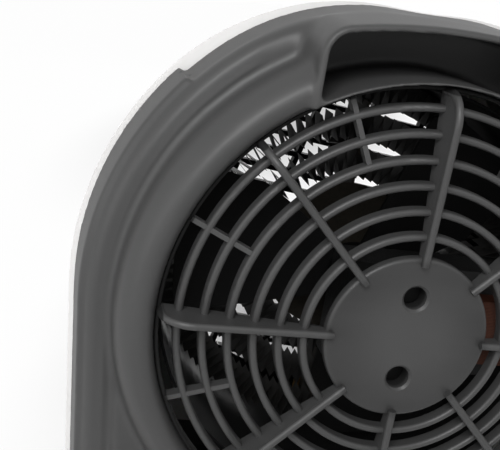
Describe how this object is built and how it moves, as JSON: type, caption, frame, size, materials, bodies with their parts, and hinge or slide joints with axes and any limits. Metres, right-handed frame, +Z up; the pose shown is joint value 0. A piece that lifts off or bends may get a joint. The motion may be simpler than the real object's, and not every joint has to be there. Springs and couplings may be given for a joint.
{
  "type": "fan heater",
  "caption": "Upright arched fan heater with a ring-and-fin rear inlet grille, hooded grip pocket, zigzag heating element, axial fan, two front knobs and a tip-over switch.",
  "frame": {"origin": "centre of the overall box at floor level", "axes": "+Z up, -Y to the front (outlet and knobs), +Y to the rear (inlet grille), +X to the right of a person who faces the front"},
  "size_m": [0.2012, 0.1298, 0.2465],
  "materials": {
    "dark_casing": "fine satin grain",
    "white_casing": "semi-gloss",
    "black_plastic": "satin",
    "rubber": "dull",
    "zinc_steel": "zinc plated",
    "core_steel": "stacked laminations, oiled",
    "copper": "enamelled copper winding",
    "bronze": "plain",
    "duct_steel": "heat-proof black",
    "mica": "pressed mica board",
    "resistance_wire": "heat-darkened resistance ribbon",
    "lamp": "amber lens"
  },
  "bodies": {
    "casing": {"rear_shell": "dark_casing", "rear_grille": "dark_casing", "front_shell": "white_casing", "front_grille": "black_plastic", "base_plate": "dark_casing", "rubber_feet": "rubber", "base_screws": "zinc_steel", "casing_screws": "zinc_steel", "cord_gland": "rubber", "motor_core": "core_steel", "motor_coil": "copper", "motor_rear_bracket": "zinc_steel", "motor_front_bracket": "zinc_steel", "motor_bearings": "bronze", "motor_screws": "zinc_steel", "motor_nuts": "zinc_steel", "air_duct": "duct_steel", "element_frame": "mica", "heating_wires": "resistance_wire", "element_terminals": "bronze", "thermal_cutout": "zinc_steel", "thermal_fuse": "zinc_steel", "thermostat_body": "black_plastic", "selector_body": "black_plastic", "control_nuts": "zinc_steel", "pilot_lamp": "lamp", "tip_switch": "black_plastic", "terminal_block": "white_casing"},
    "rotor": {"motor_shaft": "zinc_steel", "rotor_core": "core_steel", "fan_impeller": "black_plastic", "fan_collet": "bronze"},
    "thermostat_control": {"thermostat_knob": "dark_casing", "thermostat_spindle": "zinc_steel"},
    "selector_control": {"selector_knob": "dark_casing", "selector_spindle": "zinc_steel"},
    "tip_over_plunger": {"tip_plunger": "white_casing"}
  },
  "joints": [
    {"name": "rotor_spin", "type": "hinge", "parent": "casing", "child": "rotor", "pos_m": [0, 0.01, 0.152], "axis": [0, 1, 0], "continuous": true},
    {"name": "thermostat_turn", "type": "hinge", "parent": "casing", "child": "thermostat_control", "pos_m": [0.04, -0.055, 0.044], "axis": [0, 1, 0], "range_deg": [0, 270]},
    {"name": "selector_turn", "type": "hinge", "parent": "casing", "child": "selector_control", "pos_m": [-0.04, -0.055, 0.044], "axis": [0, 1, 0], "range_deg": [0, 135]},
    {"name": "tip_plunger_slide", "type": "slide", "parent": "casing", "child": "tip_over_plunger", "axis": [0, 0, -1], "range_m": [0, 0.004], "stiffness_N_per_m": 60, "springref_m": 0.008}
  ]
}
